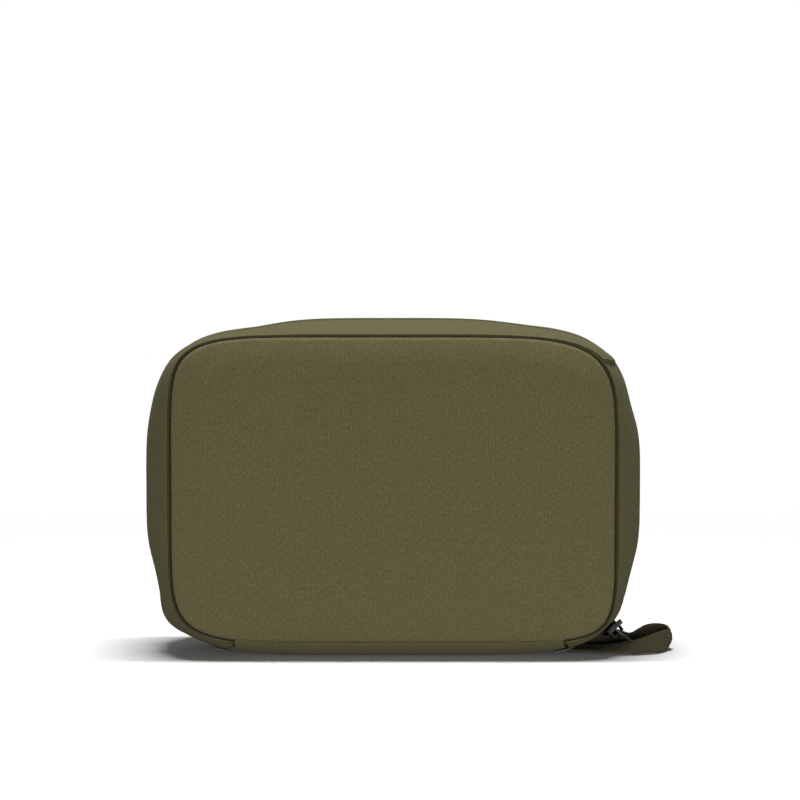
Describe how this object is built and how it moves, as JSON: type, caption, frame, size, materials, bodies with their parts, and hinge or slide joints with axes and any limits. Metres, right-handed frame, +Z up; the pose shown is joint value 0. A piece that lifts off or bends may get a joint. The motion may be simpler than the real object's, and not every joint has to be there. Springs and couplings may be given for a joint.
{
  "type": "cable organizer pouch",
  "caption": "Padded zip-round clamshell pouch that stands on its base, with a tilting divider, cable loops, mesh pockets and a webbing grab loop.",
  "frame": {"origin": "middle of the flat base, where the pouch stands on a table", "axes": "+X to the right seen from the front, +Y towards the rear panel, +Z up; the front panel faces -Y"},
  "size_m": [0.2551, 0.0736, 0.1598],
  "materials": {
    "shell_fabric": "woven, matt",
    "base_fabric": "woven, matt",
    "lining_fabric": "smooth plain weave",
    "foam": "closed-cell foam",
    "binding_tape": "ribbed binding",
    "mesh_net": "open knitted net",
    "elastic": "ribbed elastic",
    "webbing": "ribbed webbing",
    "zip_tape": "herringbone tape",
    "zip_coil": "nylon coil",
    "slider_metal": "satin gunmetal",
    "board": "smooth sheet"
  },
  "bodies": {
    "rear_shell": {"rear_panel": "shell_fabric", "rear_foam": "foam", "rear_lining": "lining_fabric", "rear_gusset": "shell_fabric", "rear_zip_tape": "zip_tape", "rear_zip_coil": "zip_coil", "rear_seam_binding": "binding_tape", "rear_gusset_lining": "lining_fabric", "base_panel": "base_fabric", "base_board": "board", "base_lining": "lining_fabric", "zip_end_tab_right": "binding_tape", "zip_end_tab_left": "binding_tape", "grab_loop_end_front": "webbing", "grab_loop_end_rear": "webbing", "rear_mesh_pocket": "mesh_net", "rear_pocket_elastic": "elastic", "rear_cable_loop_1": "elastic", "rear_cable_loop_2": "elastic", "rear_cable_loop_3": "elastic", "rear_cable_loop_4": "elastic", "rear_cable_loop_5": "elastic"},
    "lid": {"front_panel": "shell_fabric", "front_foam": "foam", "front_lining": "lining_fabric", "front_gusset": "shell_fabric", "front_zip_tape": "zip_tape", "front_zip_coil": "zip_coil", "front_seam_binding": "binding_tape", "front_gusset_lining": "lining_fabric", "lid_mesh_pocket": "mesh_net", "lid_pocket_binding": "binding_tape", "lid_pocket_tape_lower": "zip_tape", "lid_pocket_tape_upper": "zip_tape", "lid_pocket_coil_lower": "zip_coil", "lid_pocket_coil_upper": "zip_coil"},
    "divider": {"divider_panel": "lining_fabric", "divider_binding": "binding_tape", "divider_cable_loop_1": "elastic", "divider_cable_loop_2": "elastic", "divider_cable_loop_3": "elastic", "divider_cable_loop_4": "elastic", "divider_slip_pocket": "lining_fabric", "divider_pocket_elastic": "elastic"},
    "zip_slider": {"main_slider": "slider_metal"},
    "zip_pull": {"main_pull": "slider_metal"},
    "pocket_slider": {"lid_pocket_slider": "slider_metal"},
    "pocket_pull": {"lid_pocket_pull": "slider_metal"},
    "loop_bight": {"grab_loop": "webbing"}
  },
  "joints": [
    {"name": "lid_open", "type": "hinge", "parent": "rear_shell", "child": "lid", "pos_m": [0, -0.0334, 0.005], "axis": [1, 0, 0], "range_deg": [0, 90]},
    {"name": "divider_tilt", "type": "hinge", "parent": "rear_shell", "child": "divider", "pos_m": [0, 0, 0.0056], "axis": [1, 0, 0], "range_deg": [0, 36]},
    {"name": "zip_travel", "type": "hinge", "parent": "rear_shell", "child": "zip_slider", "pos_m": [0.07496, -0.01044, 0.04591], "axis": [0.2475, -0.9152, 0.3181], "range_deg": [0, 40]},
    {"name": "zip_pull_swing", "type": "hinge", "parent": "zip_slider", "child": "zip_pull", "pos_m": [0.1073, -0.01386, 0.01024], "axis": [0.2663, -0.9347, 0.2354], "range_deg": [0, 68]},
    {"name": "pocket_zip_travel", "type": "slide", "parent": "lid", "child": "pocket_slider", "axis": [-1, 0, 0], "range_m": [0, 0.15]},
    {"name": "pocket_pull_swing", "type": "hinge", "parent": "pocket_slider", "child": "pocket_pull", "pos_m": [0.076, -0.0227, 0.116], "axis": [0, 0, -1], "range_deg": [0, 160]},
    {"name": "grab_loop_lift", "type": "hinge", "parent": "rear_shell", "child": "loop_bight", "pos_m": [0.103, 0, 0.003], "axis": [0, -1, 0], "range_deg": [0, 25]}
  ],
  "couplings": [
    {"joint": "divider_tilt", "follows": "lid_open", "ratio": 0.4}
  ]
}
